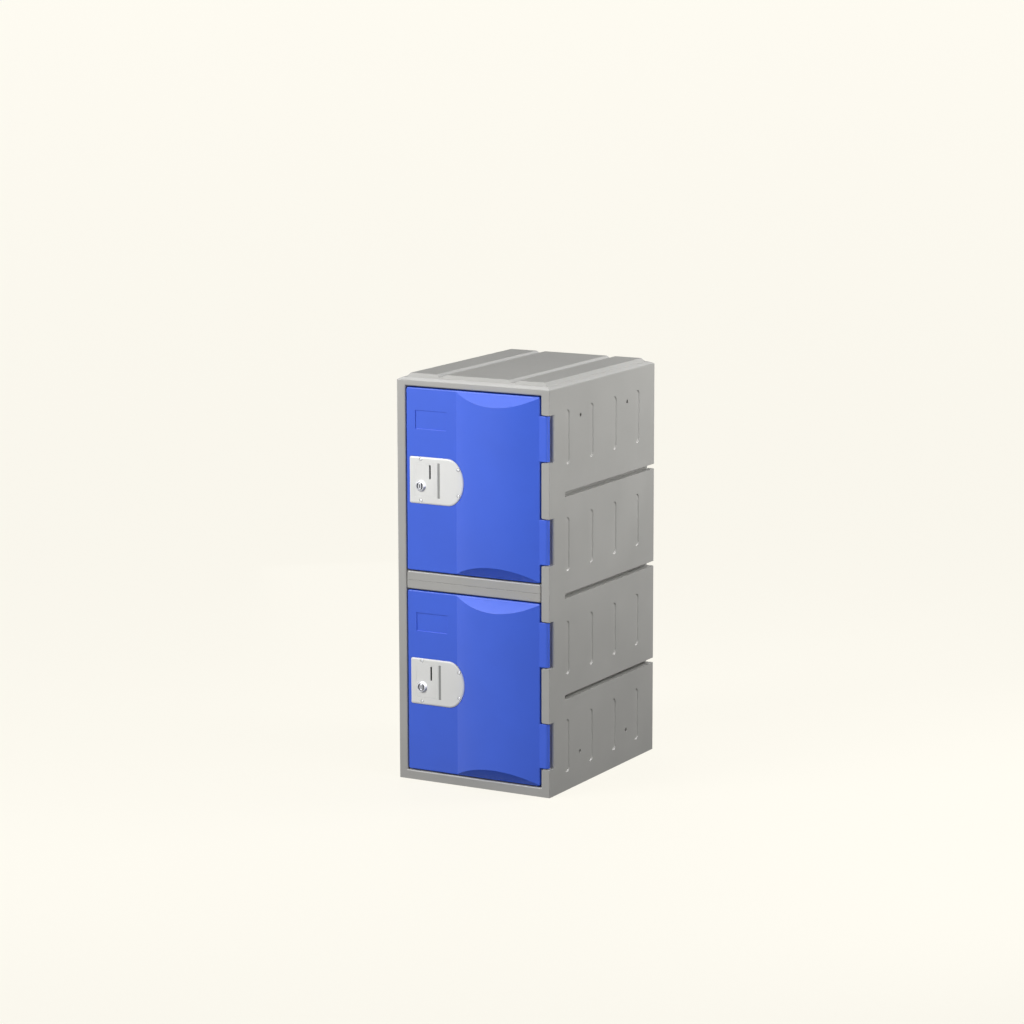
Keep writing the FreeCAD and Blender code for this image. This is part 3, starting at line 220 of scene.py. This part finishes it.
class Tree:
    """Adds nodes to one material and links them."""

    def __init__(self, name):
        self.material = bpy.data.materials.new(name)
        self.material.use_nodes = True
        self.tree = self.material.node_tree
        self.shader = self.tree.nodes["Principled BSDF"]

    def add(self, kind, inputs=None, **settings):
        """New node; an input is another node's output or a plain value."""
        made = self.tree.nodes.new(kind)
        for key, value in settings.items():
            setattr(made, key, value)
        for key, value in (inputs or {}).items():
            if isinstance(value, bpy.types.NodeSocket):
                self.tree.links.new(value, made.inputs[key])
            else:
                made.inputs[key].default_value = value
        return made

    def noise(self, scale, detail, roughness):
        place = self.add("ShaderNodeTexCoord").outputs["Object"]
        made = self.add("ShaderNodeTexNoise", {"Vector": place, "Scale": scale, "Detail": detail,
                                               "Roughness": roughness})
        return made.outputs["Fac"]

    def fit(self, value, span, start, end):
        """Value stretched from span to start..end."""
        made = self.add("ShaderNodeMapRange", {"Value": value, "From Min": span[0], "From Max": span[1],
                                               "To Min": start, "To Max": end})
        return made.outputs["Result"]

    def blend(self, factor, a, b):
        """Mix of two colours; in RGBA mode the mix node's sockets are told apart only by number."""
        return self.add("ShaderNodeMix", {0: factor, 6: a, 7: b}, data_type="RGBA").outputs[2]

    def shade(self, base, noise, shades):
        """Base colour that the noise takes from the first to the second of two shades."""
        darkest, lightest = [scaled(base, factor) for factor in shades]
        return self.blend(self.fit(noise, NOISE_MIDDLE, 0.0, 1.0), darkest, lightest)

    def bevel(self, radius):
        """Normal that is rounded off at edges."""
        return self.add("ShaderNodeBevel", {"Radius": radius}, samples=BEVEL_SAMPLES).outputs["Normal"]

    def bump(self, height, strength, normal):
        made = self.add("ShaderNodeBump", {"Height": height, "Strength": strength, "Distance": BUMP_DEPTH,
                                           "Normal": normal})
        self.feed("Normal", made.outputs["Normal"])

    def feed(self, socket, value):
        self.tree.links.new(value, self.shader.inputs[socket])

    def set(self, socket, value):
        self.shader.inputs[socket].default_value = value


def linear(rgb):
    """sRGB 0 to 255 as linear RGBA."""
    out = []
    for c in rgb:
        c = c / 255
        out.append(c / 12.92 if c <= 0.04045 else ((c + 0.055) / 1.055) ** 2.4)
    return (*out, 1.0)


def scaled(colour, factor):
    return (*[min(1.0, c * factor) for c in colour[:3]], 1.0)


def moulded_plastic(name, rgb, rough, edge_radius=PLASTIC_EDGE):
    """Satin moulded plastic: faint flow marks, a fine grain and a painted highlight that lightens the
    edges.
    """
    t = Tree(name)
    base = linear(rgb)
    marked = t.shade(base, t.noise(FLOW_SCALE, detail=3.0, roughness=0.55), FLOW_SHADES)
    rounded = t.bevel(edge_radius)
    flat = t.add("ShaderNodeNewGeometry").outputs["Normal"]
    agreement = t.add("ShaderNodeVectorMath", {0: rounded, 1: flat}, operation="DOT_PRODUCT")
    # painted highlight: the base colour is lightened where the rounded normal parts from the flat one, at
    # edges
    painted_edge_highlight = t.fit(agreement.outputs["Value"], EDGE_AGREEMENT, 0.0, EDGE_HIGHLIGHT_AMOUNT)
    t.feed("Base Color", t.blend(painted_edge_highlight, marked, scaled(base, EDGE_HIGHLIGHT_LIGHTNESS)))
    sheen = t.noise(SHEEN_SCALE, detail=3.0, roughness=0.6)
    t.feed("Roughness", t.fit(sheen, NOISE_MIDDLE, rough - SHEEN_SPREAD, rough + SHEEN_SPREAD))
    t.bump(t.noise(GRAIN_SCALE, detail=2.0, roughness=0.6), GRAIN_STRENGTH, rounded)
    t.set("IOR", PLASTIC_IOR)
    return t.material


def metal(name, rgb, rough, spread):
    """Plated metal with faint mottling and painted shade in recesses, as rough as rough plus or minus
    spread.
    """
    t = Tree(name)
    base = linear(rgb)
    mottling = t.noise(PLATING_SCALE, detail=3.0, roughness=0.6)
    plating = t.shade(base, mottling, PLATING_SHADES)
    # painted shade: the base colour darkens in recesses that ambient occlusion finds
    openness = t.add("ShaderNodeAmbientOcclusion", {"Distance": RECESS_REACH}, samples=RECESS_SAMPLES)
    outside_painted_shade = t.fit(openness.outputs["AO"], RECESS_OPENNESS, 0.0, 1.0)
    t.feed("Base Color", t.blend(outside_painted_shade, scaled(base, RECESS_PAINTED_SHADE), plating))
    t.feed("Roughness", t.fit(mottling, NOISE_MIDDLE, rough - spread, rough + spread))
    t.bump(mottling, PLATING_STRENGTH, t.bevel(METAL_EDGE))
    t.set("Metallic", 1.0)
    return t.material


MATERIALS = {
    "grey_body": moulded_plastic("grey_body", (171, 170, 166), 0.31),
    "grey_inside": moulded_plastic("grey_inside", (160, 159, 155), 0.5),
    "blue_door": moulded_plastic("blue_door", (60, 100, 222), 0.38),
    "blue_inside": moulded_plastic("blue_inside", (60, 92, 200), 0.5),
    # the wider edge radius widens the painted highlight and the rounded shading on the plate's rim
    "white_plate": moulded_plastic("white_plate", (234, 234, 231), 0.35, edge_radius=0.0012),
    "black_inside": moulded_plastic("black_inside", (18, 18, 19), 0.5),
    "black_rubber": moulded_plastic("black_rubber", (28, 28, 29), 0.7),
    "grey_insert": moulded_plastic("grey_insert", (150, 151, 149), 0.5, edge_radius=0.0003),
    "zinc_steel": metal("zinc_steel", (190, 192, 190), 0.38, 0.08),
    "bright_screw": metal("bright_screw", (205, 206, 208), 0.3, 0.05),
    "chrome_lock": metal("chrome_lock", (200, 201, 205), 0.34, 0.04),
    "chrome_plug": metal("chrome_plug", (200, 201, 205), 0.34, 0.04),
}


def dress_nodes():
    """Swaps the plain materials that came with the CAD for the ones above, slot by slot."""
    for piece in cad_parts.values():
        for slot in piece.material_slots:
            slot.material = MATERIALS[slot.material.name.split(".")[0]]


make_camera()
make_world()
make_sun(*SUN)
for softbox in SOFTBOXES:
    make_softbox(*softbox)
make_floor()
dress_nodes()
bpy.context.scene.view_settings.view_transform = "Standard"
